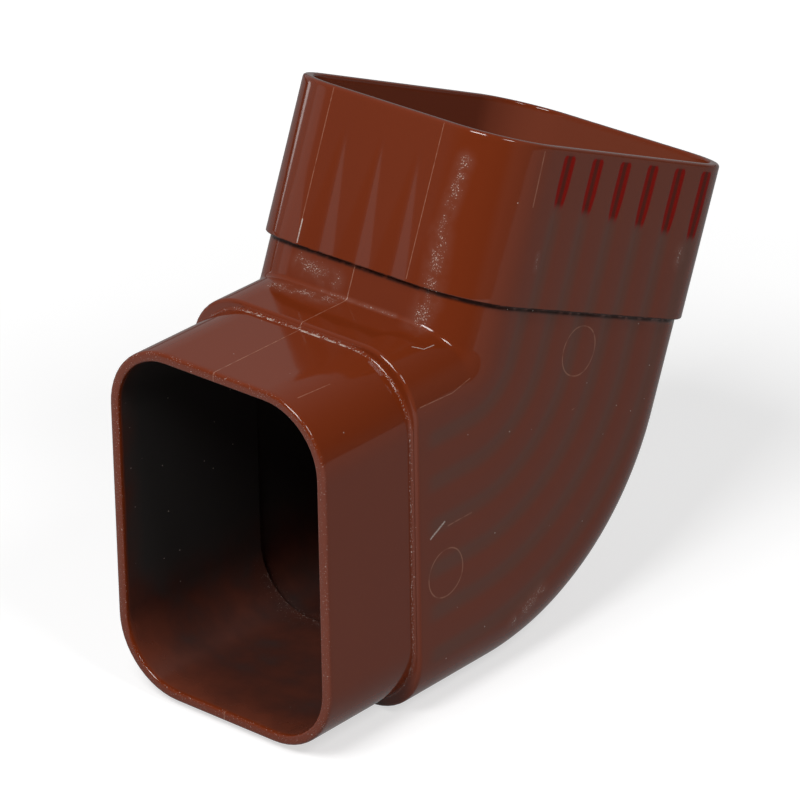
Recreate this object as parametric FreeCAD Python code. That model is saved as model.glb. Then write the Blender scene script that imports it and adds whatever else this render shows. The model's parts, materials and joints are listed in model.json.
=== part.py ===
"""Fluted rectangular downspout elbow, moulded in one piece.

Millimetres. The origin is where the spigot's axis meets the shoulder of its collar. The spigot runs out
along -Y, +Z is up, and X = 0 is the plane of symmetry. From the collar a straight lead runs along +Y, the
bend turns it upwards, and a straight neck carries the socket, which leans back towards +Y.
"""
import math
import os

import FreeCAD
import Part

# Spigot, the end that plugs into the next pipe, with a straight bore that runs on past the collar
WALL = 2.2
SPIGOT_WIDTH = 58.6
SPIGOT_DEPTH = 79.8
SPIGOT_CORNER = 15.8
SPIGOT_LENGTH = 26.4
BORE_LENGTH = 42.0
RIM_CHAMFER = 0.5

# Body, a collar's step larger than the spigot all round
COLLAR_STEP = 1.4
COLLAR_CHAMFER = 0.6
BODY_CORNER = 14.2

# Bend: both axes' lengths to their crossing, and the axis radii that the throat and the heel turn with.
# The throat's radius is less than half the body's depth, so the throat closes to a crease.
BEND_ANGLE = 67.5
LEAD_AXIS = 41.9
NECK_AXIS = 35.2
THROAT_TURN = 37.5
HEEL_TURN = 21.3
PIVOT_GAP = 0.5

# Socket, which takes the pipe above: its bore clears a spigot's outside
INSERT_CLEARANCE = 0.4
SOCKET_CORNER = 15.2
SOCKET_HEIGHT = 33.9
LEDGE_THICKNESS = 2.2
FOOT_CHAMFER = 0.6

# Flutes: channels that widen from the socket's rim to its foot, and scallops on the body that follow the bend.
# The middle flute of a side stands its row's shift nearer the throat than the axis.
SIDE_FLUTES = 7
SIDE_PITCH = 9.9
SIDE_SHIFT = 1.6
FACE_FLUTES = 5
FACE_PITCH = 9.8
FLUTE_FOOT_WIDTH = 8.6
FLUTE_RIM_WIDTH = 3.8
FLUTE_FLANK = 1.2
SOCKET_FLUTE_DEPTH = 1.0
BODY_FLUTE_WIDTH = 8.4
BODY_FLUTE_DEPTH = 0.6
RIM_BAND = 1.4
COLLAR_LAND = 2.0

# How far a cutting tool stands out of the wall that it cuts
FLUTE_PROUD = 0.05
TOOL_PROUD = 1.0

BODY_WIDTH = SPIGOT_WIDTH + 2 * COLLAR_STEP
BODY_DEPTH = SPIGOT_DEPTH + 2 * COLLAR_STEP
BORE_WIDTH = SPIGOT_WIDTH + 2 * INSERT_CLEARANCE
BORE_DEPTH = SPIGOT_DEPTH + 2 * INSERT_CLEARANCE
SOCKET_WIDTH = BORE_WIDTH + 2 * WALL
SOCKET_DEPTH = BORE_DEPTH + 2 * WALL

ORIGIN = FreeCAD.Vector(0, 0, 0)
X_AXIS = FreeCAD.Vector(1, 0, 0)
Y_AXIS = FreeCAD.Vector(0, 1, 0)
Z_AXIS = FreeCAD.Vector(0, 0, 1)


def lead_station(along):
    """Frame on the spigot's axis: local Z runs towards the socket, local Y points to the heel."""
    return FreeCAD.Placement(Y_AXIS * along, FreeCAD.Rotation(X_AXIS, -90))


def neck_station(along):
    """The same frame on the neck's axis, measured from where the two axes cross."""
    turn = FreeCAD.Rotation(X_AXIS, BEND_ANGLE - 90)
    return FreeCAD.Placement(Y_AXIS * LEAD_AXIS + turn.multVec(Z_AXIS * along), turn)


def tangent_length(radius):
    """How far from the axes' crossing a turn of this axis radius begins and ends."""
    return radius * math.tan(math.radians(BEND_ANGLE / 2))


def turned(section, radius):
    """A section in its local frame, carried round the bend on an axis of this radius."""
    start = LEAD_AXIS - tangent_length(radius)
    section.Placement = lead_station(start)
    return section.revolve(FreeCAD.Vector(0, start, radius), X_AXIS, BEND_ANGLE)


def rounded_section(width, depth, corner):
    """Rounded rectangle in the local XY plane, centred on the axis."""
    flat_x = width / 2 - corner
    flat_y = depth / 2 - corner
    centres = [(flat_x, flat_y), (-flat_x, flat_y), (-flat_x, -flat_y), (flat_x, -flat_y)]
    edges = []
    for quarter, (x, y) in enumerate(centres):
        start = 90 * quarter
        edges.append(Part.makeCircle(corner, FreeCAD.Vector(x, y, 0), Z_AXIS, start, start + 90))
    ends = [(edge.Vertexes[0].Point, edge.Vertexes[-1].Point) for edge in edges]
    for quarter in range(4):
        edges.append(Part.makeLine(ends[quarter][1], ends[(quarter + 1) % 4][0]))
    return Part.Face(Part.Wire(Part.__sortEdges__(edges)))


def heel_side(section, floor):
    """The part of a section whose local Y is above floor."""
    box = section.BoundBox
    return section.common(Part.makePlane(box.XLength, box.YMax - floor, FreeCAD.Vector(box.XMin, floor, 0)))


def prism(size, length, place, start_chamfer=0.0):
    """Rounded bar from a station along its axis, with the edge of its first end broken if asked."""
    bar = rounded_section(*size).extrude(Z_AXIS * length)
    if start_chamfer:
        first_end = [edge for edge in bar.Edges if edge.BoundBox.ZMax < length / 2]
        bar = bar.makeChamfer(start_chamfer, first_end)
    bar.Placement = place
    return bar


def elbow_bar(size, lead_from, neck_to, start_chamfer=0.0):
    """Lead and neck that cross at the throat, with a rounded throat turn and a tighter, fuller heel turn."""
    heel_tangent = tangent_length(HEEL_TURN)
    lead = prism(size, LEAD_AXIS - heel_tangent - lead_from, lead_station(lead_from), start_chamfer)
    neck = prism(size, neck_to - heel_tangent, neck_station(heel_tangent))
    throat = turned(heel_side(rounded_section(*size), PIVOT_GAP - THROAT_TURN), THROAT_TURN)
    heel = turned(heel_side(rounded_section(*size), 0), HEEL_TURN)
    return lead.fuse([neck, throat, heel]).removeSplitter()


def row(count, pitch, shift=0.0):
    """Offsets of a row across its wall, shifted back from the wall's middle."""
    return [(index - (count - 1) / 2) * pitch - shift for index in range(count)]


def channel_outline(width, reach, offset, height):
    """Corners of a channel across a wall at reach on local +X: a flat floor between two sloping flanks."""
    mouth = width / 2 + FLUTE_PROUD * FLUTE_FLANK / SOCKET_FLUTE_DEPTH
    floor = width / 2 - FLUTE_FLANK
    across = [(reach + FLUTE_PROUD, -mouth), (reach - SOCKET_FLUTE_DEPTH, -floor),
              (reach - SOCKET_FLUTE_DEPTH, floor), (reach + FLUTE_PROUD, mouth)]
    return [FreeCAD.Vector(x, offset + y, height) for x, y in across]


def socket_flute(reach, offset, top):
    """Channel along a wall: its depth and its flanks' slope stay, while its floor widens towards the foot."""
    foot = channel_outline(FLUTE_FOOT_WIDTH, reach, offset, -TOOL_PROUD)
    rim = channel_outline(FLUTE_RIM_WIDTH, reach, offset, top)
    outlines = [foot, rim]
    for corner in range(4):
        after = (corner + 1) % 4
        outlines.append([foot[corner], foot[after], rim[after], rim[corner]])
    faces = [Part.Face(Part.makePolygon(outline + outline[:1])) for outline in outlines]
    return Part.makeSolid(Part.makeShell(faces))


def socket_flutes():
    """Tapered channels on the socket's four walls: the back wall's run out through the rim."""
    band_foot = SOCKET_HEIGHT - RIM_BAND
    tools = []
    for offset in row(SIDE_FLUTES, SIDE_PITCH, SIDE_SHIFT):
        side = socket_flute(SOCKET_WIDTH / 2, offset, band_foot)
        tools += [side, side.mirror(ORIGIN, X_AXIS)]
    for turn, top in ((-90, band_foot), (90, SOCKET_HEIGHT + TOOL_PROUD)):
        for offset in row(FACE_FLUTES, FACE_PITCH):
            face = socket_flute(SOCKET_DEPTH / 2, offset, top)
            face.rotate(ORIGIN, Z_AXIS, turn)
            tools.append(face)
    for tool in tools:
        tool.Placement = neck_station(NECK_AXIS).multiply(tool.Placement)
    return tools


def scallop_radius():
    return ((BODY_FLUTE_WIDTH / 2) ** 2 + BODY_FLUTE_DEPTH ** 2) / (2 * BODY_FLUTE_DEPTH)


def scallop_section(radius, offset):
    """Segment of a circle, in the local XY plane, that cuts one flute into the body's wall on local +X."""
    half_chord = math.sqrt(radius ** 2 - (radius - BODY_FLUTE_DEPTH - FLUTE_PROUD) ** 2)
    chord = BODY_WIDTH / 2 + FLUTE_PROUD
    start = FreeCAD.Vector(chord, offset - half_chord, 0)
    floor = FreeCAD.Vector(BODY_WIDTH / 2 - BODY_FLUTE_DEPTH, offset, 0)
    end = FreeCAD.Vector(chord, offset + half_chord, 0)
    return Part.Face(Part.Wire([Part.Arc(start, floor, end).toShape(), Part.makeLine(end, start)]))


def body_flutes():
    """Scallops down both sides of the neck and round the throat's turn, rising out of the wall along the lead."""
    radius = scallop_radius()
    tangent = tangent_length(THROAT_TURN)
    lead_length = LEAD_AXIS - tangent
    rise = BODY_FLUTE_DEPTH + FLUTE_PROUD
    run_out_length = (lead_length - COLLAR_LAND) * rise / BODY_FLUTE_DEPTH
    tools = []
    for offset in row(SIDE_FLUTES, SIDE_PITCH, SIDE_SHIFT):
        neck = scallop_section(radius, offset).extrude(Z_AXIS * (NECK_AXIS - tangent))
        neck.Placement = neck_station(tangent)
        centre = FreeCAD.Vector(BODY_WIDTH / 2 - BODY_FLUTE_DEPTH + radius, offset, 0)
        run_out = Part.makeCone(radius, radius - rise, run_out_length, centre, -Z_AXIS)
        run_out.Placement = lead_station(lead_length).multiply(run_out.Placement)
        tool = run_out.fuse([turned(scallop_section(radius, offset), THROAT_TURN), neck])
        tools += [tool, tool.mirror(ORIGIN, X_AXIS)]
    return tools


def outside():
    """Spigot, fluted body and fluted socket in one."""
    spigot = prism((SPIGOT_WIDTH, SPIGOT_DEPTH, SPIGOT_CORNER), SPIGOT_LENGTH,
                   lead_station(-SPIGOT_LENGTH), RIM_CHAMFER)
    body = elbow_bar((BODY_WIDTH, BODY_DEPTH, BODY_CORNER), 0, NECK_AXIS, COLLAR_CHAMFER).cut(body_flutes())
    socket = prism((SOCKET_WIDTH, SOCKET_DEPTH, SOCKET_CORNER), SOCKET_HEIGHT,
                   neck_station(NECK_AXIS), FOOT_CHAMFER).cut(socket_flutes())
    return body.fuse([spigot, socket])


def waterway():
    """What is open inside: the spigot's straight bore, the wider bend, and the socket's bore over its ledge."""
    bore = prism((SPIGOT_WIDTH - 2 * WALL, SPIGOT_DEPTH - 2 * WALL, SPIGOT_CORNER - WALL),
                 BORE_LENGTH + TOOL_PROUD, lead_station(-SPIGOT_LENGTH - TOOL_PROUD))
    ledge = NECK_AXIS + LEDGE_THICKNESS
    bend = elbow_bar((BODY_WIDTH - 2 * WALL, BODY_DEPTH - 2 * WALL, BODY_CORNER - WALL),
                     BORE_LENGTH - SPIGOT_LENGTH, ledge)
    socket = prism((BORE_WIDTH, BORE_DEPTH, SOCKET_CORNER - WALL),
                   SOCKET_HEIGHT - LEDGE_THICKNESS + TOOL_PROUD, neck_station(ledge))
    return bend.fuse([bore, socket])


def elbow():
    solid = outside().cut(waterway()).removeSplitter()
    return solid.Solids[0] if len(solid.Solids) == 1 else solid


os.makedirs("parts", exist_ok=True)
shape = elbow()
shape.exportStep("parts/elbow.step")
box = shape.BoundBox
print("valid", shape.isValid(), "solids", len(shape.Solids), "faces", len(shape.Faces))
print("volume", round(shape.Volume, 1), "centre of mass", shape.CenterOfMass)
print("box", box)
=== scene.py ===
"""Downspout elbow: a fluted brown moulding on a pale floor, seen from its front right."""
import json
import math

import bpy
from mathutils import Matrix, Vector


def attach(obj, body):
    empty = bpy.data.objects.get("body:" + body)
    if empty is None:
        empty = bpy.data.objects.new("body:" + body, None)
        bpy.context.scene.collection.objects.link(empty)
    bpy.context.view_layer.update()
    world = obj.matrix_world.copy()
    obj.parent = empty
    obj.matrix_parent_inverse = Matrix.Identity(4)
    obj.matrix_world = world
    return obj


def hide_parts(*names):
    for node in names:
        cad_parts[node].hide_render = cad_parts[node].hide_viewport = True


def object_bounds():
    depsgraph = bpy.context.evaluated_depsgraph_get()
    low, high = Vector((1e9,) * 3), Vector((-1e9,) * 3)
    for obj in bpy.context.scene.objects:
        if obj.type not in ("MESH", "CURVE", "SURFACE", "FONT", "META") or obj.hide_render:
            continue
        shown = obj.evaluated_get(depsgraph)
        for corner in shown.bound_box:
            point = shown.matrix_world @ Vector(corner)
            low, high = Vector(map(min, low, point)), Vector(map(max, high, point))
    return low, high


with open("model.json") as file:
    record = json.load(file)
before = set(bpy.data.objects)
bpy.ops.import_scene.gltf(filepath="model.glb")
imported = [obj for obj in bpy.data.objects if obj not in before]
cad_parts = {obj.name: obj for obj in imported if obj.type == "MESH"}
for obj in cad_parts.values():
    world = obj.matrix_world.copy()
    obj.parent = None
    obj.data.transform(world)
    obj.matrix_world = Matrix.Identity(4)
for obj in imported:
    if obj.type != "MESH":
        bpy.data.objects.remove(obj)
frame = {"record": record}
cad_low, cad_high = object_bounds()
MIDDLE = (cad_low + cad_high) / 2

# The skin's sizes are in millimetres, and become metres where a mesh or a material takes them
MM = 0.001

# The wall's thickness, and the room that the socket's bore leaves on each side of a pipe
WALL = 2.2
INSERT_CLEARANCE = 0.4

# Sizes that the frame gives: its mounts stand on the two axes and on the middles of the end walls
mounts = {mount["name"]: mount for mount in frame["record"]["mounts"]}
socket_mouth = Vector(mounts["socket"]["pos_m"]) / MM
SOCKET_AXIS = Vector(mounts["socket"]["axis"])
BEND_ANGLE = math.atan2(SOCKET_AXIS.z, SOCKET_AXIS.y)
LEAD_AXIS = socket_mouth.y - socket_mouth.z * SOCKET_AXIS.y / SOCKET_AXIS.z
SOCKET_TOP = socket_mouth.z / SOCKET_AXIS.z
SPIGOT_LENGTH = -mounts["spigot_end"]["pos_m"][1] / MM
SPIGOT_DEPTH = 2 * mounts["spigot_end"]["pos_m"][2] / MM + WALL
SOCKET_WIDTH = (cad_high.x - cad_low.x) / MM
SOCKET_DEPTH = 2 * (socket_mouth - Vector(mounts["socket_rim"]["pos_m"]) / MM).length + WALL
SPIGOT_WIDTH = SOCKET_WIDTH - 2 * (WALL + INSERT_CLEARANCE)

# Sizes of the moulding that the frame doesn't give
SPIGOT_CORNER = 15.8
BODY_CORNER = 14.2
SOCKET_CORNER = 15.2
COLLAR_STEP = 1.4
THROAT_TURN = 37.5
HEEL_TURN = 21.3
CREASE_RADIUS = 1.2
CREASE_SOFTNESS = 0.8
SOCKET_HEIGHT = 33.9
LEDGE_THICKNESS = 2.2
BORE_END = 15.6
RIM_ROUND = 0.7
INNER_RIM_ROUND = 0.45
COLLAR_ROUND = 0.8
COLLAR_FILLET = 0.7
FOOT_ROUND = 0.35
EDGE_SUPPORT = 0.1
RIM_LAND = 1.5

# Flutes: pitches, the side rows' shifts to the throat, and the first and last flute from a row's middle
FLUTE_DEPTH = 1.0
SIDE_PITCH = 9.9
SIDE_SHIFT = 1.6
BODY_SHIFT = 2.6
SIDE_REACH = (-2, 3)
FACE_PITCH = 9.8
FACE_REACH = (-2, 2)

# Half widths of the flutes, their shares of the full depth, and the softness of their edges
FLUTE_RIM_HALF = 2.2
FLUTE_FOOT_HALF = 4.7
BODY_FLUTE_HALF = 4.2
SIDE_RIM_SHARE = 0.15
SIDE_FOOT_SHARE = 0.2
FRONT_FOOT_SHARE = 0.5
BODY_SHARE = 0.2
FRONT_LEAST_WIDENING = 0.1
FLUTE_SOFTNESS = 0.2

# Where the flutes begin and change, below the socket's rim and behind the collar's shoulder
RIM_BAND = (1.2, 2.2)
SIDE_FADE = (6.0, 16.0)
FRONT_APEX = 5.0
COLLAR_LAND = 2.0

# Painted light in the flutes: where the painted bright red stripes below the rim end, and where the painted
# grey reflection below them begins
STRIPE_END = 15.7
STRIPE_END_STEP = 0.8
STRIPE_FADE = 7.0
REFLECTION_START = (9.0, 17.0)
REFLECTION_LAND = (2.0, 6.0)

# Painted light across a flute, from its middle: the painted shade of a stripe's dark core, its edge and how
# it tapers, and the edge of the painted grey reflection
STRIPE_CORE = (0.3, 1.0)
STRIPE_EDGE = (1.75, 1.1)
STRIPE_TAPER = 0.5
STRIPE_WHOLE = 0.4
REFLECTION_EDGE = (3.0, 0.6)

# Painted shade in the waterway: on the walls from the mouth inwards, on the floor, and where it ends in the
# neck
SHADE_MOUTH_SHARE = 0.85
SHADE_START = 7.0
SHADE_FLOOR = (13.0, 34.0)
SHADE_FLOOR_SHARE = 0.72
SHADE_FLOOR_START = (-8.0, 14.0)
SHADE_END = (20.0, 37.0)

# The shares between which the painted shade loses its red, and how uneven it is
SHADE_NEUTRAL = (0.72, 1.0)
SHADE_MOTTLE = 3.0

# Grit on the waterway's floor, as distances from the step into the bend, and its share
GRIT = (1.0, 9.0)
GRIT_SHARE = 0.78

# Chips along the foot of the collar: their share all round, and where on the top they are thickest
CHIP_SHARE = 0.9
CHIP_STRETCH = (11.0, 20.0)

# Wear on the spigot's rim: where it fades out behind the end, and its share
RIM_WEAR = (0.3, 1.4)
RIM_WEAR_SHARE = 0.7

# Painted shade in the corner under the socket's foot: heights from there where it is gone and whole, and its
# share
FOOT_SHADE_ENDS = ((-1.2, -0.5), (0.3, 0.15))
FOOT_SHADE_SHARE = 0.85

# How many faces each stretch of the skin has
SIDE_STEPS = 84
FACE_STEPS = 56
CORNER_STEPS = 13
ROUND_STEPS = 4
PLAIN_STEPS = 8
SOCKET_STEPS = 44
BODY_STEPS = (18, 48, 12)
WATERWAY_STEPS = (4, 24, 5)

# Places that follow: heights along the socket's axis, and where the two axes cross and the bend turns
NECK_AXIS = SOCKET_TOP - SOCKET_HEIGHT
LEDGE = NECK_AXIS + LEDGE_THICKNESS
HALF_TURN = math.tan(BEND_ANGLE / 2)
CROSSING = Vector((0, LEAD_AXIS, 0))
HEEL = Vector((0, math.sin(BEND_ANGLE), -math.cos(BEND_ANGLE)))
THROAT_PIVOT = Vector((0, LEAD_AXIS - THROAT_TURN * HALF_TURN, THROAT_TURN))

# Sections: width, depth and corner radius
SPIGOT = (SPIGOT_WIDTH, SPIGOT_DEPTH, SPIGOT_CORNER)
BODY = (SPIGOT_WIDTH + 2 * COLLAR_STEP, SPIGOT_DEPTH + 2 * COLLAR_STEP, BODY_CORNER)
SOCKET = (SOCKET_WIDTH, SOCKET_DEPTH, SOCKET_CORNER)

# Colours and finish of the plastic and of its marks
BROWN = (0.185, 0.029, 0.0065, 1)
DEEP_BROWN = (0.170, 0.026, 0.006, 1)
# Painted light in the flutes: grey reflection, bright red along the edges below the rim, and shade in the
# grooves
PAINTED_REFLECTION_BROWN = (0.150, 0.045, 0.025, 1)
LIT_STRIPE_RED = (0.290, 0.010, 0.006, 1)
GROOVE_SHADE_BROWN = (0.130, 0.023, 0.0155, 1)
# Painted shade: under the socket's foot, and reddish and grey down the waterway
FOOT_SHADE_DARK = (0.020, 0.012, 0.010, 1)
SHADE_DARK_RED = (0.018, 0.008, 0.007, 1)
SHADE_DARK_GREY = (0.024, 0.022, 0.021, 1)
# A pale grey, laid thinly on the upright sides as painted grey reflection, and on the inner walls
PALE_GREY = (0.30, 0.20, 0.17, 1)
PALE_SCUFF = (0.62, 0.52, 0.46, 1)
# An orange for scratches, pins and seams, also used for a painted highlight line
ORANGE_SCUFF_AND_HIGHLIGHT = (0.42, 0.19, 0.12, 1)
# Share and start of the painted grey reflection on the upright sides, and share of the grey on the inner
# walls
SIDE_SHEEN = 0.04
SIDE_SHEEN_START = 27.5
INNER_GREY = 0.1
SCUFF_HAZE = 0.06
FAINT = 0.65
PLASTIC_IOR = 1.5
GLOSS = 0.5
STRIPE_GLOSS = 0.04
GLOSS_ROUGHNESS = 0.08
SCUFFED_ROUGHNESS = 0.3
SHADE_ROUGHNESS = 0.6

# Relief that shows only in the gloss
CLOUD_RELIEF = 0.1
SEAM_RELIEF = 0.04

# Noises of the finish: cells to the metre, and detail
CLOUDS = (45.0, 3.0)
MOTTLE = (140.0, 4.0)
BREAKS = (420.0, 1.0)
GRAIN = (3600.0, 2.0)
NOISE_MIDDLE = 0.5

# How a noise breaks up a mark: its levels where the mark is thinnest and whole, and the thinnest share
SCRATCH_BREAKS = (0.35, 0.55, 0.4)
SCUFF_BREAKS = (0.25, 0.6, 0.4)
PIN_BREAKS = (0.3, 0.55, 0.25)
SEAM_BREAKS = (0.35, 0.6, 0.3)
FOOT_SHADE_BREAKS = (0.3, 0.5, 0.5)
WORN_BREAKS = (0.4, 0.6, 0.0)

# Edges of the marks, in their own widths: where a line is gone and whole, or how much of it is whole
SCRATCH_EDGE = (0.6, 0.2)
SCUFF_REACH = 1.4
PIN_CORE = 0.3
SEAM_CORE = 0.4
SPECK_CORE = 0.6

# Chips: the grain's level where they begin, how far nearness lowers it, their edge, and where they fade out
CHIP_LEVEL = 0.82
CHIP_LEVEL_DROP = 0.28
CHIP_EDGE = 0.15
CHIP_FADE = 0.3

# Specks of dust: cells to the metre, size in cells, and the share of cells that have one
SPECK_SCALE = 330.0
SPECK_SIZE = 0.05
SPECK_SHARE = 0.1

# Light: shares of white in the room, from its dark right to its pale left, and on the floor
WHITE = (1, 1, 1, 1)
ROOM_DARK = 0.04
ROOM_PALE = 0.30
PALE_SIDE = (-0.9, 0.436, 0)
PALE_TURN = (-0.3, 0.8)
FLOOR_GREY = 0.54
FLOOR_GLOW = 0.62
FAR_GLOW = 0.9
FLOOR_MIRRORED = 0.25
FRONT_MIRRORED = 0.5

# Panels in the room: direction, degrees from it where a panel is whole and where it ends, and share of white
PANELS = [((-0.798, -0.590, 0.12), 6, 11, 0.26), ((-0.992, -0.104, -0.07), 3, 6, 2.2)]

# Lamps: direction from the elbow's middle, size in metres and power in watts
LAMPS = {"front_pane": ((0.12, -0.62, 0.78), 0.4, 7.0), "right_pane": ((0.68, -0.15, 0.72), 0.24, 2.2)}

# The floor in metres: its size, where its glow rises and its mirror image ends, and where its front is paler
FLOOR_SIZE = 3.0
GLOW_RISE = (0.12, 0.45)
MIRROR_END = (0.78, 0.87)
MIRROR_FRONT = (-0.06, 0.0)

# Camera, fitted to the photograph's straight edges: degrees, millimetres and pixels
AZIMUTH = 41.02
ELEVATION = 25.84
ROLL = -0.92
DISTANCE = 1100.0
AIM = Vector((0, 40, 50))
AIM_RIGHT = 5.67
AIM_UP = 37.04
FOCAL_PIXELS = 5298.87
FRAME_PIXELS = 800
SENSOR = 36.0


def eased(value, start, end):
    """Smooth step from 0 at the start to 1 at the end."""
    share = min(max((value - start) / (end - start), 0.0), 1.0)
    return share * share * (3 - 2 * share)


def spread(start, end, steps):
    """Evenly spaced values, both ends included."""
    return [start + (end - start) * step / steps for step in range(steps + 1)]


def inset(size, by):
    """The section that lies by so much inside another one."""
    width, depth, corner = size
    return width - 2 * by, depth - 2 * by, corner - by


def corner_arc(centre, radius, start):
    """Quarter circle from a start angle in degrees, its last point left to the next stretch."""
    angles = [math.radians(angle) for angle in spread(start, start + 90, CORNER_STEPS)[:-1]]
    x, v = centre
    return [(x + radius * math.cos(angle), v + radius * math.sin(angle)) for angle in angles]


def section(size):
    """Rounded rectangle as points (x, towards the heel), with the same number of points at every size."""
    width, depth, corner = size
    flat_x = width / 2 - corner
    flat_v = depth / 2 - corner
    points = [(width / 2, v) for v in spread(-flat_v, flat_v, SIDE_STEPS)[:-1]]
    points += corner_arc((flat_x, flat_v), corner, 0)
    points += [(x, depth / 2) for x in spread(flat_x, -flat_x, FACE_STEPS)[:-1]]
    points += corner_arc((-flat_x, flat_v), corner, 90)
    points += [(-width / 2, v) for v in spread(flat_v, -flat_v, SIDE_STEPS)[:-1]]
    points += corner_arc((-flat_x, -flat_v), corner, 180)
    points += [(x, -depth / 2) for x in spread(-flat_x, flat_x, FACE_STEPS)[:-1]]
    points += corner_arc((flat_x, -flat_v), corner, 270)
    return points


def lead_point(x, v, along):
    """Point of the spigot's end, that far along its axis from the collar's shoulder."""
    return Vector((x, along, -v))


def neck_point(x, v, along):
    """Point of the socket's end, that far along its axis from where the two axes cross."""
    return CROSSING + Vector((x, 0, 0)) + HEEL * v + SOCKET_AXIS * along


def lead_ring(size, along):
    return [lead_point(x, v, along) for x, v in section(size)]


def neck_ring(size, along):
    return [neck_point(x, v, along) for x, v in section(size)]


def turn_radius(v, flat):
    """Radius of the bend at a place across the section: concentric at the throat, tighter at the heel."""
    free = THROAT_TURN + v + (HEEL_TURN - THROAT_TURN) * eased(v, 0, flat) - CREASE_RADIUS
    return CREASE_RADIUS + (free + math.sqrt(free * free + 4 * CREASE_SOFTNESS ** 2)) / 2


def bend_rings(size, lead_from, neck_to, steps):
    """Rings along the lead, round the bend and up the neck; every row has its own filleted path."""
    lead_steps, bend_steps, neck_steps = steps
    flat = size[1] / 2 - size[2]
    rows = []
    for x, v in section(size):
        radius = turn_radius(v, flat)
        start = LEAD_AXIS + (v - radius) * HALF_TURN
        first = min(lead_from, start - EDGE_SUPPORT)
        row = [lead_point(x, v, along) for along in spread(first, start, lead_steps)[:-1]]
        for angle in spread(0, BEND_ANGLE, bend_steps):
            row.append(Vector((x, start + radius * math.sin(angle), radius * (1 - math.cos(angle)) - v)))
        neck_from = (radius - v) * HALF_TURN
        row += [neck_point(x, v, along) for along in spread(neck_from, neck_to, neck_steps)[1:]]
        rows.append(row)
    return [list(ring) for ring in zip(*rows)]


def rounded_edge(radius):
    """Quarter round as pairs (in from the wall, back from the end), from the end face to the wall."""
    angles = [math.radians(angle) for angle in spread(0, 90, ROUND_STEPS)]
    return [(radius * (1 - math.sin(angle)), radius * (1 - math.cos(angle))) for angle in angles]


def rounded_rim():
    """A wall's end as pairs (in from the outside, back from the end), from its inner to its outer edge."""
    inner = [(WALL - by, back) for by, back in rounded_edge(INNER_RIM_ROUND)]
    return inner[::-1] + rounded_edge(RIM_ROUND)


def spigot_rings():
    """Over the rim and along the outside to the fillet at the foot of the collar."""
    rings = [lead_ring(inset(SPIGOT, by), back - SPIGOT_LENGTH) for by, back in rounded_rim()]
    wall = spread(RIM_LAND - SPIGOT_LENGTH, -COLLAR_FILLET - EDGE_SUPPORT, PLAIN_STEPS)
    return rings + [lead_ring(SPIGOT, along) for along in wall]


def collar_rings():
    """The collar's face, with a fillet at its foot and a rounded edge."""
    foot = [lead_ring(inset(SPIGOT, -by), -back) for by, back in reversed(rounded_edge(COLLAR_FILLET))]
    return foot + [lead_ring(inset(BODY, by), back) for by, back in rounded_edge(COLLAR_ROUND)]


def body_rings():
    return bend_rings(BODY, COLLAR_ROUND + EDGE_SUPPORT, NECK_AXIS, BODY_STEPS)


def socket_rings():
    """Out under the socket's foot, up its outside and over the rim."""
    rings = [neck_ring(inset(BODY, -EDGE_SUPPORT), NECK_AXIS)]
    rings += [neck_ring(inset(SOCKET, by), NECK_AXIS + back) for by, back in rounded_edge(FOOT_ROUND)]
    wall = spread(NECK_AXIS + FOOT_ROUND, SOCKET_TOP - RIM_ROUND, SOCKET_STEPS)
    rings += [neck_ring(SOCKET, along) for along in wall[1:-1]]
    return rings + [neck_ring(inset(SOCKET, by), SOCKET_TOP - back) for by, back in reversed(rounded_rim())]


def socket_bore_rings():
    """Down the socket's bore to the ledge that stops the pipe."""
    bore = inset(SOCKET, WALL)
    wall = spread(SOCKET_TOP - RIM_LAND, LEDGE + EDGE_SUPPORT, PLAIN_STEPS)
    rings = [neck_ring(bore, along) for along in wall]
    return rings + [neck_ring(bore, LEDGE), neck_ring(inset(bore, EDGE_SUPPORT), LEDGE)]


def waterway_rings():
    """Back down the inside: neck, bend, the step into the straight bore, and the bore to its mouth."""
    inner = inset(BODY, WALL)
    bore = inset(SPIGOT, WALL)
    rings = [neck_ring(inset(inner, -EDGE_SUPPORT), LEDGE)]
    rings += reversed(bend_rings(inner, BORE_END, LEDGE, WATERWAY_STEPS))
    rings += [lead_ring(inset(bore, -EDGE_SUPPORT), BORE_END), lead_ring(bore, BORE_END)]
    straight = spread(BORE_END - EDGE_SUPPORT, RIM_LAND - SPIGOT_LENGTH, PLAIN_STEPS)
    return rings + [lead_ring(bore, along) for along in straight]


# What each vertex carries for the flutes and for the finish, on a plain stretch of the outside
PLAIN = {
    "flute_phase": 0.0, "flute_half": 1.0, "flute_share": 0.0, "flute_drop": 0.0,
    "flute_wall": (0.0, 0.0, 0.0), "striped": 0.0, "reflection_share": 0.0,
    "chipped": 0.0, "painted_shade": 0.0, "seamed": 0.0, "inner": 0.0,
}


def side_facing(point):
    """Which way the side wall at a point faces."""
    return math.copysign(1, point.x), 0, 0


def fluted(phase, reach, half, share, drop, wall, striped=0.0, reflection_share=0.0):
    """A vertex's place in a row of flutes, in pitches from its middle; outside the row it stays plain."""
    if not reach[0] - 0.5 <= phase <= reach[1] + 0.5:
        return PLAIN | {"flute_phase": phase}
    return PLAIN | {"flute_phase": phase, "flute_half": half, "flute_share": share, "flute_drop": drop * MM,
                    "flute_wall": tuple(wall), "striped": striped, "reflection_share": reflection_share}


def spigot_finish(point):
    """Light wear on the rim, none along the wall."""
    at_rim = 1 - eased(point.y + SPIGOT_LENGTH, *RIM_WEAR)
    return PLAIN | {"seamed": 1.0, "chipped": RIM_WEAR_SHARE * at_rim}


def collar_finish(point):
    """Chips along the collar's foot, thickest on the middle of the top."""
    on_top = 1 - eased(abs(point.x), *CHIP_STRETCH) if point.z > 0 else 0.0
    foot = eased(-point.y, -COLLAR_ROUND / 2, COLLAR_FILLET / 2)
    return PLAIN | {"seamed": 1.0, "chipped": foot * (CHIP_SHARE + (1 - CHIP_SHARE) * on_top)}


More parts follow.
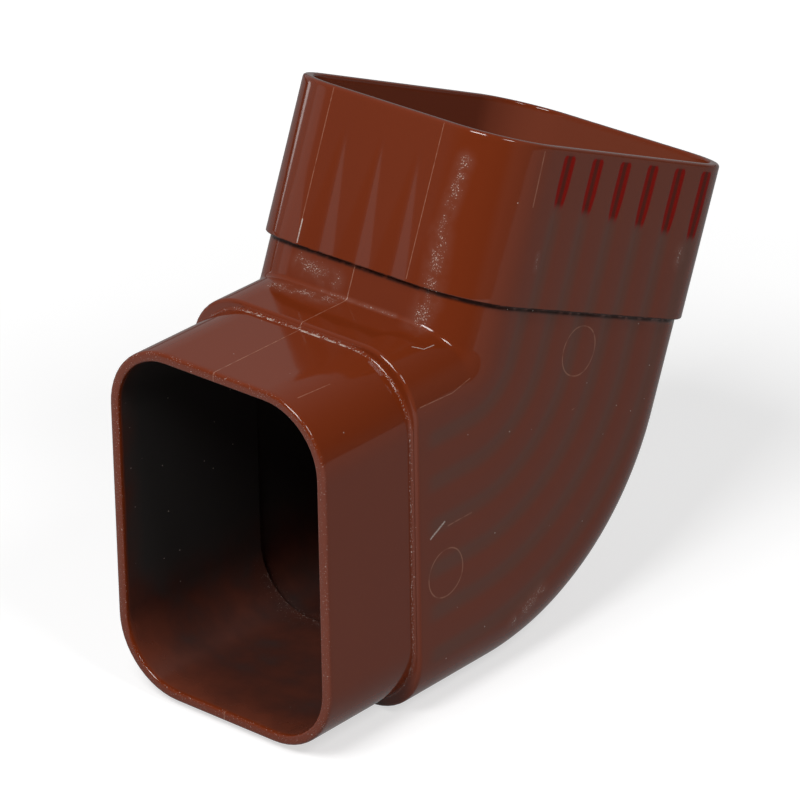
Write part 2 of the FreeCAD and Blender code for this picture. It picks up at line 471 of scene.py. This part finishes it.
def body_finish(point):
    """The body's flutes follow the throat's turn, and fade out along the lead."""
    away = point - THROAT_PIVOT
    share = BODY_SHARE
    if away.y <= 0:
        v = -point.z
        share *= eased(point.y, COLLAR_LAND, THROAT_PIVOT.y)
    elif math.atan2(away.y, -away.z) >= BEND_ANGLE:
        v = (point - CROSSING).dot(HEEL)
    else:
        v = math.hypot(away.y, away.z) - THROAT_TURN
    drop = BODY[0] / 2 - abs(point.x)
    flute = fluted((v + BODY_SHIFT) / SIDE_PITCH, SIDE_REACH, BODY_FLUTE_HALF / SIDE_PITCH, share, drop,
                   side_facing(point), reflection_share=eased(point.y, *REFLECTION_LAND))
    return flute | {"seamed": 1.0}


def socket_side_finish(point, v, down):
    """Side flutes: narrow under the rim, where they carry painted bright red stripes over painted groove
    shade, then shallow with painted grey reflection.
    """
    drop = SOCKET[0] / 2 - abs(point.x)
    phase = (v + SIDE_SHIFT) / SIDE_PITCH
    half = FLUTE_RIM_HALF + (BODY_FLUTE_HALF - FLUTE_RIM_HALF) * down / SOCKET_HEIGHT
    band = eased(down, *RIM_BAND)
    share = SIDE_RIM_SHARE + (SIDE_FOOT_SHARE - SIDE_RIM_SHARE) * eased(down, *SIDE_FADE)
    stripe_end = STRIPE_END + STRIPE_END_STEP * round(phase)
    striped = band * (1 - eased(down, stripe_end - STRIPE_FADE, stripe_end))
    return fluted(phase, SIDE_REACH, half / SIDE_PITCH, share * band, drop, side_facing(point),
                  striped, eased(down, *REFLECTION_START))


def socket_finish(point):
    """The front's flutes widen from a point below the rim; the back's run out through the rim."""
    v = (point - CROSSING).dot(HEEL)
    down = max(SOCKET_TOP - (point - CROSSING).dot(SOCKET_AXIS), 0.0)
    drop = SOCKET[1] / 2 - abs(v)
    if SOCKET[0] / 2 - abs(point.x) < drop:
        return socket_side_finish(point, v, down)
    if v < 0:
        widening = max((down - FRONT_APEX) / (SOCKET_HEIGHT - FRONT_APEX), FRONT_LEAST_WIDENING)
        half = FLUTE_FOOT_HALF * widening
        share = FRONT_FOOT_SHARE * widening * eased(down, FRONT_APEX, 2 * FRONT_APEX)
    else:
        half = FLUTE_RIM_HALF + (FLUTE_FOOT_HALF - FLUTE_RIM_HALF) * down / SOCKET_HEIGHT
        share = 1.0
    facing = HEEL * math.copysign(1, v)
    return fluted(point.x / FACE_PITCH, FACE_REACH, half / FACE_PITCH, share, drop, facing)


def socket_bore_finish(point):
    """The same at every point of the bore."""
    return PLAIN | {"inner": 1.0}


def shaded_waterway_finish(point):
    """Painted shade in the waterway, thinner on its floor and up the neck, with grit at the floor's step."""
    inwards = point.y + SPIGOT_LENGTH
    up_neck = (point - CROSSING).dot(SOCKET_AXIS)
    shade_share = SHADE_MOUTH_SHARE + (1 - SHADE_MOUTH_SHARE) * eased(inwards, 0, SHADE_START)
    on_floor = eased(-point.z, *SHADE_FLOOR)
    shade_share += (SHADE_FLOOR_SHARE * eased(inwards, *SHADE_FLOOR_START) - shade_share) * on_floor
    grit = GRIT_SHARE * on_floor * (1 - eased(abs(point.y - BORE_END), *GRIT))
    return PLAIN | {"inner": 1.0, "painted_shade": shade_share * (1 - eased(up_neck, *SHADE_END)), "chipped": grit}


def moulding_mesh():
    """The whole skin as one closed run of rings: outside, over the rims and back through the waterway."""
    stretches = [
        (spigot_rings(), spigot_finish),
        (collar_rings(), collar_finish),
        (body_rings(), body_finish),
        (socket_rings(), socket_finish),
        (socket_bore_rings(), socket_bore_finish),
        (waterway_rings(), shaded_waterway_finish),
    ]
    rings = [ring for stretch, finish in stretches for ring in stretch]
    finishes = [finish(point) for stretch, finish in stretches for ring in stretch for point in ring]
    around = len(rings[0])
    faces = []
    for index in range(len(rings)):
        here = index * around
        there = (index + 1) % len(rings) * around
        for step in range(around):
            after = (step + 1) % around
            faces.append((here + step, here + after, there + after, there + step))
    mesh = bpy.data.meshes.new("elbow_skin")
    mesh.from_pydata([point * MM for ring in rings for point in ring], [], faces)
    mesh.polygons.foreach_set("use_smooth", [True] * len(faces))
    for name, plain in PLAIN.items():
        values = [finish[name] for finish in finishes]
        if isinstance(plain, tuple):
            layer = mesh.attributes.new(name, "FLOAT_VECTOR", "POINT")
            layer.data.foreach_set("vector", [part for value in values for part in value])
        else:
            mesh.attributes.new(name, "FLOAT", "POINT").data.foreach_set("value", values)
    return mesh


class Nodes:
    """Fills a node tree: each call adds a node, fed from values or from other nodes' outputs."""

    def __init__(self, tree):
        self.tree = tree

    def feed(self, socket, value):
        if isinstance(value, bpy.types.NodeSocket):
            self.tree.links.new(value, socket)
        else:
            socket.default_value = value

    def add(self, kind, *inputs, named=None, **settings):
        node = self.tree.nodes.new(kind)
        for key, value in settings.items():
            setattr(node, key, value)
        for socket, value in zip(node.inputs, inputs):
            self.feed(socket, value)
        for key, value in (named or {}).items():
            self.feed(node.inputs[key], value)
        return node

    def math(self, operation, *inputs, **settings):
        return self.add("ShaderNodeMath", *inputs, operation=operation, **settings).outputs[0]

    def vector(self, operation, *inputs):
        node = self.add("ShaderNodeVectorMath", *inputs, operation=operation)
        return node.outputs["Value" if operation in ("DISTANCE", "DOT_PRODUCT") else "Vector"]

    def scaled(self, vector, scale):
        node = self.add("ShaderNodeVectorMath", vector, named={"Scale": scale}, operation="SCALE")
        return node.outputs["Vector"]

    def ramp(self, value, start, end, low=0.0, high=1.0):
        """Smooth change from low to high while the value goes from start to end."""
        node = self.add("ShaderNodeMapRange", value, start, end, low, high, interpolation_type="SMOOTHSTEP")
        return node.outputs["Result"]

    def product(self, *values):
        result = values[0]
        for value in values[1:]:
            result = self.math("MULTIPLY", result, value)
        return result

    def most(self, *values):
        """The largest of several masks."""
        result = values[0]
        for value in values[1:]:
            result = self.math("MAXIMUM", result, value)
        return result

    def mix(self, share, first, second):
        node = self.add("ShaderNodeMix", data_type="RGBA")
        for label, value in (("Factor_Float", share), ("A_Color", first), ("B_Color", second)):
            self.feed(next(socket for socket in node.inputs if socket.identifier == label), value)
        return next(socket for socket in node.outputs if socket.identifier == "Result_Color")

    def away_from_flute(self, phase):
        """How far a phase is from the middle of the nearest flute, in pitches."""
        return self.math("ABSOLUTE", self.math("SUBTRACT", phase, self.math("ROUND", phase)))


def flute_tree(material):
    """Presses the flutes into the skin where its attributes say, and gives the result its material."""
    tree = bpy.data.node_groups.new("Press Flutes", "GeometryNodeTree")
    tree.interface.new_socket("Geometry", in_out="INPUT", socket_type="NodeSocketGeometry")
    tree.interface.new_socket("Flute Depth", in_out="INPUT", socket_type="NodeSocketFloat")
    tree.interface.new_socket("Edge Softness", in_out="INPUT", socket_type="NodeSocketFloat")
    tree.interface.new_socket("Geometry", in_out="OUTPUT", socket_type="NodeSocketGeometry")
    make = Nodes(tree)
    given = make.add("NodeGroupInput").outputs

    def attribute(name, kind="FLOAT"):
        return make.add("GeometryNodeInputNamedAttribute", name, data_type=kind).outputs["Attribute"]

    reach = make.math("DIVIDE", make.away_from_flute(attribute("flute_phase")), attribute("flute_half"))
    groove = make.math("SMOOTH_MAX", make.math("SUBTRACT", 1.0, reach), 0.0, given["Edge Softness"])
    depth = make.math("MULTIPLY", given["Flute Depth"], attribute("flute_share"))
    cut = make.math("SUBTRACT", make.math("MULTIPLY", groove, depth), attribute("flute_drop"))
    inward = make.math("MULTIPLY", make.math("MAXIMUM", cut, 0.0), -1.0)
    push = make.scaled(attribute("flute_wall", "FLOAT_VECTOR"), inward)
    pressed = make.add("GeometryNodeSetPosition", named={"Geometry": given["Geometry"], "Offset": push})
    whole = make.add("GeometryNodeRealizeInstances", pressed.outputs["Geometry"])
    dressed = make.add("GeometryNodeSetMaterial", whole.outputs["Geometry"], named={"Material": material})
    make.add("NodeGroupOutput", dressed.outputs["Geometry"])
    return tree


def made_by(tree, name, mesh, sizes):
    """A plain object from a mesh that a geometry tree has worked on."""
    blank = bpy.data.objects.new(name + "_blank", mesh)
    bpy.context.scene.collection.objects.link(blank)
    modifier = blank.modifiers.new("tree", "NODES")
    modifier.node_group = tree
    for item in tree.interface.items_tree:
        if item.in_out == "INPUT" and item.name in sizes:
            modifier[item.identifier] = sizes[item.name]
    bpy.context.view_layer.update()
    evaluated = blank.evaluated_get(bpy.context.evaluated_depsgraph_get())
    made = bpy.data.objects.new(name, bpy.data.meshes.new_from_object(evaluated))
    blank.modifiers.remove(modifier)
    bpy.data.objects.remove(blank)
    bpy.context.scene.collection.objects.link(made)
    return made


def mark_group(name, sizes, shape):
    """Shader group that puts out one mask on Object coordinates, shaped by a function."""
    group = bpy.data.node_groups.new(name, "ShaderNodeTree")
    for label in sizes:
        kind = "NodeSocketVector" if label in ("Start", "End", "Centre") else "NodeSocketFloat"
        group.interface.new_socket(label, in_out="INPUT", socket_type=kind)
    group.interface.new_socket("Mask", in_out="OUTPUT", socket_type="NodeSocketFloat")
    make = Nodes(group)
    given = make.add("NodeGroupInput").outputs
    place = make.add("ShaderNodeTexCoord").outputs["Object"]
    make.add("NodeGroupOutput", shape(make, given, place))
    return group


def widths_away(make, given, place):
    """Distance from the line between two points, in widths of the mark."""
    run = make.vector("SUBTRACT", given["End"], given["Start"])
    from_start = make.vector("SUBTRACT", place, given["Start"])
    lengths = [make.vector("DOT_PRODUCT", run, vector) for vector in (from_start, run)]
    share = make.math("DIVIDE", *lengths, use_clamp=True)
    nearest = make.vector("ADD", given["Start"], make.scaled(run, share))
    return make.math("DIVIDE", make.vector("DISTANCE", place, nearest), given["Width"])


def grains(make, near, grain):
    """Fine chips, thick where the nearness is 1 and gone where it is 0."""
    level = make.math("MULTIPLY_ADD", near, -CHIP_LEVEL_DROP, CHIP_LEVEL)
    chips = make.ramp(make.math("SUBTRACT", grain, level), 0.0, CHIP_EDGE)
    return make.product(chips, make.ramp(near, 0.0, CHIP_FADE))


def scratch_shape(make, given, place):
    """Ragged line between two points."""
    ragged = make.math("SUBTRACT", given["Grain"], NOISE_MIDDLE)
    line = make.ramp(make.math("ADD", widths_away(make, given, place), ragged), *SCRATCH_EDGE)
    return make.product(line, make.ramp(given["Grain"], *SCRATCH_BREAKS))


def scuff_shape(make, given, place):
    """Chips scattered along the line between two points."""
    close = make.ramp(widths_away(make, given, place), SCUFF_REACH, 0.0)
    near = make.product(close, make.ramp(given["Patches"], *SCUFF_BREAKS))
    return make.math("MULTIPLY_ADD", near, SCUFF_HAZE, grains(make, near, given["Grain"]))


def pin_shape(make, given, place):
    """Thin circle round a point, broken here and there."""
    gap = make.math("SUBTRACT", make.vector("DISTANCE", place, given["Centre"]), given["Radius"])
    core = make.math("MULTIPLY", given["Width"], PIN_CORE)
    line = make.ramp(make.math("ABSOLUTE", gap), given["Width"], core)
    return make.product(line, make.ramp(given["Grain"], *PIN_BREAKS))


def seam_shape(make, given, place):
    """Broken line where the skin crosses the plane of symmetry."""
    gap = make.math("ABSOLUTE", make.add("ShaderNodeSeparateXYZ", place).outputs["X"])
    line = make.ramp(gap, given["Width"], make.math("MULTIPLY", given["Width"], SEAM_CORE))
    return make.product(line, make.ramp(given["Grain"], *SEAM_BREAKS))


def speck_shape(make, given, place):
    """Dots in some of the cells of a scattered pattern."""
    cells = make.add("ShaderNodeTexVoronoi", place, named={"Scale": given["Scale"]}).outputs
    chance = make.add("ShaderNodeSeparateColor", cells["Color"]).outputs[0]
    dot = make.ramp(cells["Distance"], given["Size"], make.math("MULTIPLY", given["Size"], SPECK_CORE))
    return make.product(dot, make.math("LESS_THAN", chance, given["Share"]))


def mark_groups():
    """The kinds of mark, each built once."""
    return {
        "scratch": mark_group("Scratch", ("Start", "End", "Width", "Grain"), scratch_shape),
        "scuff": mark_group("Scuff", ("Start", "End", "Width", "Grain", "Patches"), scuff_shape),
        "pin": mark_group("Pin Mark", ("Centre", "Radius", "Width", "Grain"), pin_shape),
        "seam": mark_group("Mould Seam", ("Width", "Grain"), seam_shape),
        "specks": mark_group("Dust Specks", ("Scale", "Size", "Share"), speck_shape),
    }


# Places of the marks: a pin's middle, or a start, an end and a width
SIDE_WALL = BODY[0] / 2
SOCKET_WALL = SOCKET[0] / 2
FRONT = -SOCKET[1] / 2
NECK = -BODY[1] / 2
TOP = BODY[1] / 2
PIN_RADIUS = 5.4
PIN_WIDTH = 0.2
SEAM_WIDTH = 0.16
PINS = [(SIDE_WALL, 8.7, -9.4), (SIDE_WALL, 52.1, 24.9)]
PALE_SCRATCHES = [
    ((SIDE_WALL, 4.0, 0.3), (SIDE_WALL, 8.5, 2.4), 0.55),
    (neck_point(-15.2, FRONT, 40.7), neck_point(-15.2, FRONT, 35.8), 0.35),
    (neck_point(-10.6, FRONT, 37.6), neck_point(-10.6, FRONT, 35.6), 0.5),
    ((22.9, 8.1, 39.8), (24.3, 10.1, 38.9), 0.2),
    ((24.3, 10.1, 38.9), (24.5, 13.0, 38.8), 0.2),
]
ORANGE_SCRATCHES_AND_HIGHLIGHT = [
    ((SIDE_WALL, 9.6, 1.1), (SIDE_WALL, 17.1, 1.1), 0.4),
    ((SIDE_WALL, 49.8, 12.2), (SIDE_WALL, 55.1, 12.3), 0.25),
    # This line is a painted highlight along the lip of a flute at the socket's near corner
    (neck_point(31.6, -30.1, 67.8), neck_point(31.7, -29.7, 56.3), 0.3),
    (neck_point(-15.3, FRONT, 69.0), neck_point(-15.3, FRONT, 36.0), 0.24),
    (neck_point(14.4, FRONT, 69.0), neck_point(14.4, FRONT, 36.0), 0.24),
    ((30.2, 1.8, 30.7), (30.3, 11.7, 30.3), 0.25),
    ((30.3, 11.7, 30.3), (30.0, 17.7, 31.3), 0.25),
    ((19.3, -22.6, 38.8), (19.8, -13.5, 38.6), 0.2),
]
SCUFFS = [
    (neck_point(21.3, -41.8, 62.7), neck_point(19.8, -41.8, 46.6), 2.2),
    (neck_point(19.8, -41.8, 46.6), neck_point(20.7, -41.6, 36.4), 3.0),
    (neck_point(20.0, NECK, 33.0), neck_point(19.0, NECK, 28.0), 3.4),
    (neck_point(-14.1, NECK, 31.9), neck_point(-4.2, NECK, 30.7), 2.8),
    ((-16.4, 10.6, TOP), (-2.7, 12.2, TOP), 2.8),
    ((-6.6, 14.3, TOP), (13.1, 14.3, TOP), 0.8),
    ((SOCKET_WALL, 84.5, 36.5), (SOCKET_WALL, 84.0, 34.5), 2.2),
    ((SOCKET_WALL, 37.3, 52.3), (SOCKET_WALL, 36.5, 49.3), 1.0),
    ((SIDE_WALL, 31.2, -29.9), (SIDE_WALL, 39.5, -26.2), 2.6),
]


def cleared(owner):
    """The node tree of a material or a world, emptied."""
    owner.use_nodes = True
    owner.node_tree.nodes.clear()
    return owner.node_tree


class SkinNodes(Nodes):
    """Fills the plastic's material, with its patterns on Object coordinates."""

    def __init__(self, tree):
        super().__init__(tree)
        self.groups = mark_groups()
        self.place = self.add("ShaderNodeTexCoord").outputs["Object"]

    def attribute(self, name):
        return self.add("ShaderNodeAttribute", attribute_name=name).outputs["Fac"]

    def noise(self, scale, detail):
        node = self.add("ShaderNodeTexNoise", self.place, named={"Scale": scale, "Detail": detail})
        return node.outputs["Fac"]

    def mark(self, kind, **sizes):
        named = {label.capitalize(): value for label, value in sizes.items()}
        return self.add("ShaderNodeGroup", named=named, node_tree=self.groups[kind]).outputs["Mask"]

    def lines(self, kind, places, **textures):
        """All the scratches or scuffs of a list in one mask."""
        return self.most(*[
            self.mark(kind, start=Vector(start) * MM, end=Vector(end) * MM, width=width * MM, **textures)
            for start, end, width in places
        ])


def uneven_painted_shade(make):
    """The painted shade's share, mottled where it is neither whole nor gone."""
    shade_share = make.attribute("painted_shade")
    mottle = make.math("MULTIPLY", make.math("SUBTRACT", make.noise(*MOTTLE), NOISE_MIDDLE), SHADE_MOTTLE)
    return make.math("ADD", shade_share, make.product(mottle, shade_share, make.math("SUBTRACT", 1.0, shade_share)))


def flute_tints(make):
    """Masks of the painted shade in the grooves below the rim, of the painted bright red along their edges,
    and of the painted grey reflection further down.
    """
    away = make.math("MULTIPLY", make.away_from_flute(make.attribute("flute_phase")), SIDE_PITCH)
    striped = make.attribute("striped")
    tapered = make.math("MULTIPLY_ADD", striped, -STRIPE_TAPER, away)
    groove_shade = make.product(make.ramp(tapered, *STRIPE_EDGE), make.ramp(striped, 0.0, STRIPE_WHOLE))
    lit_stripes = make.product(make.ramp(away, *STRIPE_CORE), groove_shade)
    painted_reflection = make.product(make.ramp(away, *REFLECTION_EDGE), make.attribute("reflection_share"))
    return groove_shade, lit_stripes, painted_reflection


def side_sheen_and_inner_grey(make, outside):
    """Painted grey reflection on the upright sides, and a paler grey on the inner walls."""
    across = make.math("ABSOLUTE", make.add("ShaderNodeSeparateXYZ", make.place).outputs["X"])
    on_sides = make.ramp(across, SIDE_SHEEN_START * MM, SPIGOT_WIDTH / 2 * MM, 0.0, SIDE_SHEEN)
    return make.most(on_sides, make.ramp(outside, 1.0, 0.0, 0.0, INNER_GREY))


def foot_shade_line(make, breaks, outside):
    """Broken line of painted shade in the corner under the socket's foot."""
    up_socket = make.vector("DOT_PRODUCT", make.vector("SUBTRACT", make.place, CROSSING * MM), SOCKET_AXIS)
    line = make.product(*[
        make.ramp(up_socket, (NECK_AXIS + gone) * MM, (NECK_AXIS + whole) * MM) for gone, whole in FOOT_SHADE_ENDS
    ])
    return make.product(line, outside, make.ramp(breaks, *FOOT_SHADE_BREAKS), FOOT_SHADE_SHARE)


def pale_marks(make, breaks, grain, outside):
    """Specks, chips, worn edges, scuffs and scratches that show pale."""
    chipped = make.attribute("chipped")
    worn = make.product(make.ramp(chipped, CHIP_SHARE, 1.0), make.ramp(breaks, *WORN_BREAKS), FAINT)
    rubbed = make.most(make.lines("scuff", SCUFFS, grain=grain, patches=breaks),
                       make.lines("scratch", PALE_SCRATCHES, grain=grain))
    specks = make.mark("specks", scale=SPECK_SCALE, size=SPECK_SIZE, share=SPECK_SHARE)
    return make.most(specks, grains(make, chipped, grain), worn, make.product(rubbed, outside))


def orange_marks_and_highlight(make, seam, breaks, outside):
    """Pin marks, mould seams and scratches that show orange, and a painted highlight line along a flute's
    lip.
    """
    pins = make.most(*[
        make.mark("pin", centre=Vector(pin) * MM, radius=PIN_RADIUS * MM, width=PIN_WIDTH * MM, grain=breaks)
        for pin in PINS
    ])
    lines = make.most(pins, seam, make.lines("scratch", ORANGE_SCRATCHES_AND_HIGHLIGHT, grain=breaks))
    return make.product(lines, outside, FAINT)


def brown_pvc():
    """Glossy red-brown plastic, as moulded, with its tones, specks and marks, a grey on the inner walls,
    painted shade in the waterway, under the socket's foot and in the flutes, painted bright red flute edges,
    a painted highlight line and painted grey reflection.
    """
    material = bpy.data.materials.new("brown_pvc")
    make = SkinNodes(cleared(material))
    clouds = make.noise(*CLOUDS)
    breaks = make.noise(*BREAKS)
    outside = make.ramp(make.attribute("inner"), 1.0, 0.0)
    groove_shade, lit_stripes, painted_reflection = flute_tints(make)
    foot_shade = foot_shade_line(make, breaks, outside)
    painted_shade = uneven_painted_shade(make)
    seam = make.product(make.mark("seam", width=SEAM_WIDTH * MM, grain=breaks), make.attribute("seamed"))
    pale = pale_marks(make, breaks, make.noise(*GRAIN), outside)

    colour = make.mix(clouds, BROWN, DEEP_BROWN)
    # Painted grey reflection on the upright sides, and a paler grey on the inner walls
    colour = make.mix(side_sheen_and_inner_grey(make, outside), colour, PALE_GREY)
    # Painted light in the flutes: grey reflection, shade in the grooves, and bright red along their edges
    colour = make.mix(painted_reflection, colour, PAINTED_REFLECTION_BROWN)
    colour = make.mix(groove_shade, colour, GROOVE_SHADE_BROWN)
    colour = make.mix(lit_stripes, colour, LIT_STRIPE_RED)
    # Painted shade under the socket's foot and down the waterway
    colour = make.mix(foot_shade, colour, FOOT_SHADE_DARK)
    colour = make.mix(painted_shade, colour, make.mix(make.ramp(painted_shade, *SHADE_NEUTRAL), SHADE_DARK_RED, SHADE_DARK_GREY))
    # Orange marks, and a painted highlight line along a flute's lip
    colour = make.mix(orange_marks_and_highlight(make, seam, breaks, outside), colour, ORANGE_SCUFF_AND_HIGHLIGHT)
    colour = make.mix(pale, colour, PALE_SCUFF)

    roughness = make.most(make.ramp(pale, 0.0, 1.0, GLOSS_ROUGHNESS, SCUFFED_ROUGHNESS),
                          make.product(painted_shade, SHADE_ROUGHNESS))
    gloss = make.ramp(make.most(groove_shade, foot_shade), 0.0, 1.0, GLOSS, STRIPE_GLOSS)
    height = make.math("MULTIPLY_ADD", clouds, CLOUD_RELIEF * MM, make.product(seam, SEAM_RELIEF * MM))
    bump = make.add("ShaderNodeBump", named={"Strength": 1.0, "Distance": 1.0, "Height": height})
    surface = make.add("ShaderNodeBsdfPrincipled", named={
        "Base Color": colour,
        "Roughness": roughness,
        "IOR": PLASTIC_IOR,
        "Specular IOR Level": gloss,
        "Normal": bump.outputs["Normal"],
    })
    make.add("ShaderNodeOutputMaterial", surface.outputs[0])
    return material


def pale_floor():
    """White floor that keeps the shadow for the eye, and shows plain greys in the plastic's gloss."""
    material = bpy.data.materials.new("pale_floor")
    make = Nodes(cleared(material))
    rays = make.add("ShaderNodeLightPath").outputs
    place = make.add("ShaderNodeTexCoord").outputs["Object"]
    outwards = make.vector("DISTANCE", place, MIDDLE)
    lit = make.add("ShaderNodeBsdfDiffuse", (FLOOR_GREY, FLOOR_GREY, FLOOR_GREY, 1)).outputs[0]
    white = make.product(rays["Is Camera Ray"], make.ramp(outwards, *GLOW_RISE, FLOOR_GLOW, FAR_GLOW))
    glow = make.add("ShaderNodeEmission", WHITE, white).outputs[0]
    seen = make.add("ShaderNodeAddShader", lit, glow).outputs[0]
    ahead = make.add("ShaderNodeSeparateXYZ", place).outputs["Y"]
    near = make.ramp(ahead, *MIRROR_FRONT, FRONT_MIRRORED, FLOOR_MIRRORED)
    even = make.add("ShaderNodeEmission", WHITE, make.ramp(outwards, *MIRROR_END, near, ROOM_DARK)).outputs[0]
    surface = make.add("ShaderNodeMixShader", rays["Is Glossy Ray"], seen, even).outputs[0]
    make.add("ShaderNodeOutputMaterial", surface)
    return material


def floor():
    """Square floor under the elbow's lowest point."""
    half = FLOOR_SIZE / 2
    corners = [(x, y, cad_low.z) for x, y in ((-half, -half), (half, -half), (half, half), (-half, half))]
    mesh = bpy.data.meshes.new("floor")
    mesh.from_pydata(corners, [], [(0, 1, 2, 3)])
    mesh.materials.append(pale_floor())
    made = bpy.data.objects.new("floor", mesh)
    bpy.context.scene.collection.objects.link(made)


def softbox(name, towards, size, power):
    """Square area lamp, one metre from the elbow's middle in a direction, that looks at it."""
    lamp = bpy.data.lights.new(name, "AREA")
    lamp.size = size
    lamp.energy = power
    made = bpy.data.objects.new(name, lamp)
    towards = Vector(towards).normalized()
    made.location = MIDDLE + towards
    made.rotation_euler = towards.to_track_quat("Z", "Y").to_euler()
    bpy.context.scene.collection.objects.link(made)


def room():
    """Dim room, paler at the left, with two panels there; white where the camera looks past the floor."""
    world = bpy.data.worlds.new("room")
    bpy.context.scene.world = world
    make = Nodes(cleared(world))
    direction = make.add("ShaderNodeTexCoord").outputs["Generated"]
    grey = make.ramp(make.vector("DOT_PRODUCT", direction, PALE_SIDE), *PALE_TURN, ROOM_DARK, ROOM_PALE)
    for side, whole, gone, share in PANELS:
        facing = make.vector("DOT_PRODUCT", direction, Vector(side).normalized())
        edges = [math.cos(math.radians(angle)) for angle in (gone, whole)]
        grey = make.math("ADD", grey, make.ramp(facing, *edges, 0.0, share))
    strength = make.math("MAXIMUM", grey, make.add("ShaderNodeLightPath").outputs["Is Camera Ray"])
    make.add("ShaderNodeOutputWorld", make.add("ShaderNodeBackground", WHITE, strength).outputs[0])


def camera():
    """Long lens at the photograph's angle and framing."""
    lens = bpy.data.cameras.new("camera")
    lens.sensor_width = SENSOR
    lens.lens = FOCAL_PIXELS / FRAME_PIXELS * SENSOR
    azimuth, elevation, roll = (math.radians(angle) for angle in (AZIMUTH, ELEVATION, ROLL))
    flat = math.cos(elevation)
    back = Vector((math.sin(azimuth) * flat, -math.cos(azimuth) * flat, math.sin(elevation)))
    level = Vector((math.cos(azimuth), math.sin(azimuth), 0))
    upright = back.cross(level)
    right = level * math.cos(roll) + upright * math.sin(roll)
    up = upright * math.cos(roll) - level * math.sin(roll)
    place = AIM + back * DISTANCE - right * AIM_RIGHT - up * AIM_UP
    made = bpy.data.objects.new("camera", lens)
    made.matrix_world = Matrix.Translation(place * MM) @ Matrix((right, up, back)).transposed().to_4x4()
    bpy.context.scene.collection.objects.link(made)
    bpy.context.scene.camera = made


bpy.context.scene.view_settings.view_transform = "Standard"
elbow = made_by(flute_tree(brown_pvc()), "elbow_moulding", moulding_mesh(),
                {"Flute Depth": FLUTE_DEPTH * MM, "Edge Softness": FLUTE_SOFTNESS})
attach(elbow, "root")
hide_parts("elbow")
floor()
room()
for pane, (towards, size, power) in LAMPS.items():
    softbox(pane, towards, size, power)
camera()
